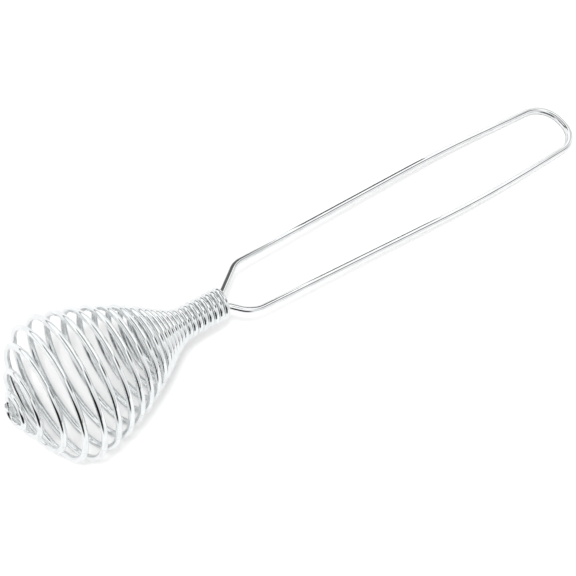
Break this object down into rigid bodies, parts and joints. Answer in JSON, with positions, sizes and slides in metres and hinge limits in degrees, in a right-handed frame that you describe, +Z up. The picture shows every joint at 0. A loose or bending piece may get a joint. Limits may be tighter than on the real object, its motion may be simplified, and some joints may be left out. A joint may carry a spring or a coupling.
{
  "type": "coil whisk",
  "caption": "Spiral wire whisk: a hairpin wire handle with a spring of thinner wire wound on its shanks, flaring into an open springy bulb.",
  "frame": {"origin": "middle of the footprint on the table, with the whisk lying as it is put down", "axes": "+X from the nose of the bulb to the end of the handle, +Y across the handle loop, +Z up; the whisk's own axis dips 6.1 degrees towards the handle end"},
  "size_m": [0.2184, 0.045, 0.0453],
  "materials": {
    "handle_wire": "bright plated wire, lightly polished along its length",
    "spring_wire": "bright plated spring wire"
  },
  "bodies": {
    "handle": {"handle_loop": "handle_wire", "neck_winding": "spring_wire", "cone_winding": "spring_wire"},
    "coil_turn_9": {"coil_turn_9": "spring_wire"},
    "coil_turn_8": {"coil_turn_8": "spring_wire"},
    "coil_turn_7": {"coil_turn_7": "spring_wire"},
    "coil_turn_6": {"coil_turn_6": "spring_wire"},
    "coil_turn_5": {"coil_turn_5": "spring_wire"},
    "coil_turn_4": {"coil_turn_4": "spring_wire"},
    "coil_turn_3": {"coil_turn_3": "spring_wire"},
    "coil_turn_2": {"coil_turn_2": "spring_wire"},
    "coil_turn_1": {"coil_turn_1": "spring_wire"},
    "nose_spiral": {"nose_spiral": "spring_wire"}
  },
  "joints": [
    {"name": "turn_9_slide", "type": "slide", "parent": "handle", "child": "coil_turn_9", "axis": [0.9943, 0, -0.1067], "range_m": [-0.000329, 0.000602], "stiffness_N_per_m": 900},
    {"name": "turn_8_side_bend", "type": "hinge", "parent": "coil_turn_9", "child": "coil_turn_8", "pos_m": [-0.06872, 0.00011, 0.02011], "axis": [0.1067, 0, 0.9943], "range_deg": [-3.01, 3.01], "stiffness_Nm_per_rad": 0.8},
    {"name": "turn_7_slide", "type": "slide", "parent": "coil_turn_8", "child": "coil_turn_7", "axis": [0.9943, 0, -0.1067], "range_m": [-0.00066, 0.0012], "stiffness_N_per_m": 900},
    {"name": "turn_6_up_bend", "type": "hinge", "parent": "coil_turn_7", "child": "coil_turn_6", "pos_m": [-0.07658, 0.00011, 0.02095], "axis": [0, 1, 0], "range_deg": [-4.01, 4.01], "stiffness_Nm_per_rad": 0.8},
    {"name": "turn_5_slide", "type": "slide", "parent": "coil_turn_6", "child": "coil_turn_5", "axis": [0.9943, 0, -0.1067], "range_m": [-0.00093, 0.0017], "stiffness_N_per_m": 900},
    {"name": "bulb_bend_side", "type": "hinge", "parent": "coil_turn_5", "child": "coil_turn_4", "pos_m": [-0.08604, 0.00011, 0.02197], "axis": [0.1067, 0, 0.9943], "range_deg": [-5, 5], "stiffness_Nm_per_rad": 0.8},
    {"name": "bulb_compress", "type": "slide", "parent": "coil_turn_4", "child": "coil_turn_3", "axis": [0.9943, 0, -0.1067], "range_m": [-0.0012, 0.0022], "stiffness_N_per_m": 900},
    {"name": "bulb_bend_up", "type": "hinge", "parent": "coil_turn_3", "child": "coil_turn_2", "pos_m": [-0.09642, 0.00011, 0.02308], "axis": [0, 1, 0], "range_deg": [-5, 5], "stiffness_Nm_per_rad": 0.8},
    {"name": "turn_1_slide", "type": "slide", "parent": "coil_turn_2", "child": "coil_turn_1", "axis": [0.9943, 0, -0.1067], "range_m": [-0.0012, 0.0022], "stiffness_N_per_m": 900},
    {"name": "nose_slide", "type": "slide", "parent": "coil_turn_1", "child": "nose_spiral", "axis": [0.9943, 0, -0.1067], "range_m": [-0.00071, 0.0013], "stiffness_N_per_m": 900}
  ],
  "couplings": [
    {"joint": "turn_9_slide", "follows": "bulb_compress", "ratio": 0.2727},
    {"joint": "turn_8_side_bend", "follows": "bulb_bend_side", "ratio": 0.6},
    {"joint": "turn_7_slide", "follows": "bulb_compress", "ratio": 0.5455},
    {"joint": "turn_6_up_bend", "follows": "bulb_bend_up", "ratio": 0.8},
    {"joint": "turn_5_slide", "follows": "bulb_compress", "ratio": 0.7727},
    {"joint": "turn_1_slide", "follows": "bulb_compress", "ratio": 1},
    {"joint": "nose_slide", "follows": "bulb_compress", "ratio": 0.5909}
  ]
}
